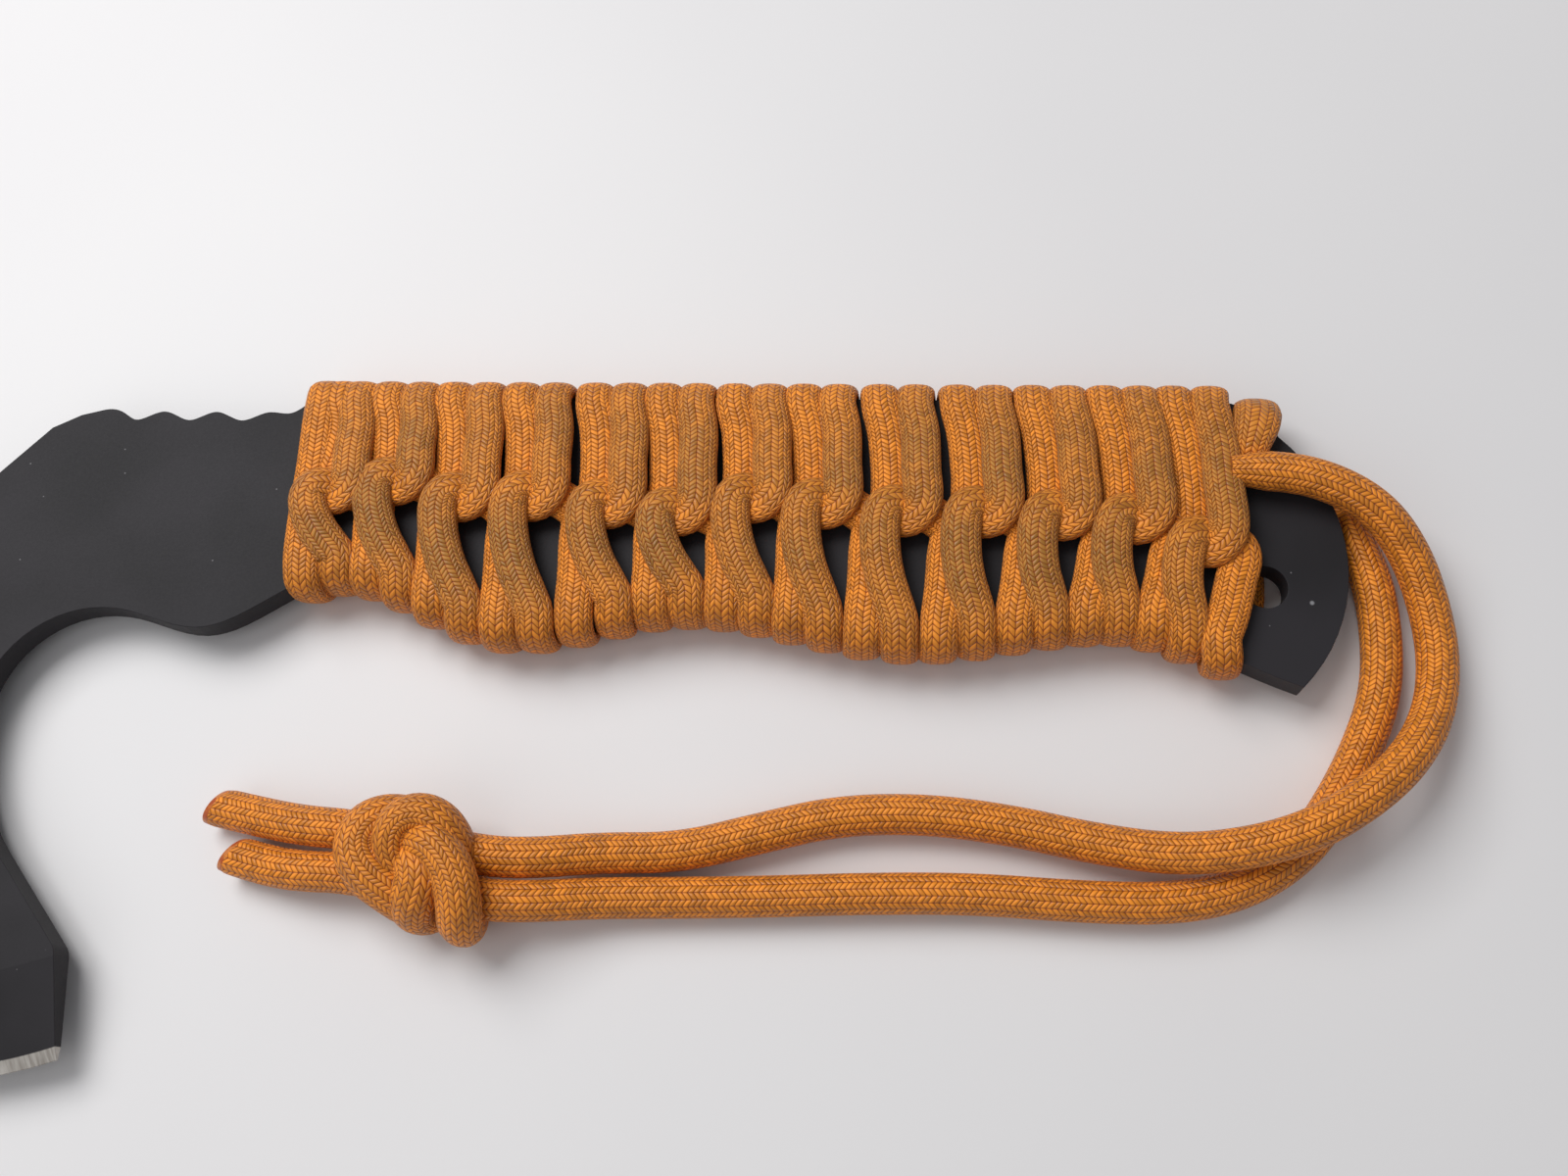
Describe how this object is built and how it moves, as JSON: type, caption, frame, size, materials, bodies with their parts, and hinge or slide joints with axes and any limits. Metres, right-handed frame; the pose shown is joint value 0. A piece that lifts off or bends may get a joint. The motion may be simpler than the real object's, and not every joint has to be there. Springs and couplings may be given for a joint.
{
  "type": "camp hatchet with cord-wrapped handle",
  "caption": "Small flat-plate camp hatchet with a curved ground edge, a finger choil, a cord-wrapped full-tang handle and a knotted cord lanyard.",
  "frame": {"origin": "centre of the lanyard hole in the butt, at the plate's middle plane", "axes": "+X along the handle from the head to the butt, +Y across the plate towards the spine, +Z along the hole's axis, out of the face that carries the lanyard's front strand; the object lies flat with its wrap on the plane z = -3.7 mm"},
  "size_m": [0.1893, 0.0746, 0.0097],
  "materials": {
    "coated_steel": "fine matt black coating on flat plate, bare ground steel at the edge",
    "paracord": "braided nylon sheath, worn"
  },
  "bodies": {
    "root": {"blade": "coated_steel", "first_turn": "paracord", "spine_hitch_01": "paracord", "belly_hitch_01": "paracord", "spine_hitch_02": "paracord", "belly_hitch_02": "paracord", "spine_hitch_03": "paracord", "belly_hitch_03": "paracord", "spine_hitch_04": "paracord", "belly_hitch_04": "paracord", "spine_hitch_05": "paracord", "belly_hitch_05": "paracord", "spine_hitch_06": "paracord", "belly_hitch_06": "paracord", "spine_hitch_07": "paracord", "belly_hitch_07": "paracord", "spine_hitch_08": "paracord", "belly_hitch_08": "paracord", "spine_hitch_09": "paracord", "belly_hitch_09": "paracord", "spine_hitch_10": "paracord", "belly_hitch_10": "paracord", "spine_hitch_11": "paracord", "belly_hitch_11": "paracord", "spine_hitch_12": "paracord", "belly_hitch_12": "paracord", "spine_hitch_13": "paracord", "belly_hitch_13": "paracord", "butt_tuck": "paracord", "lanyard_back_root": "paracord", "lanyard_front": "paracord", "lanyard_back": "paracord", "lanyard_knot": "paracord", "long_tail": "paracord", "short_tail": "paracord"}
  },
  "joints": []
}
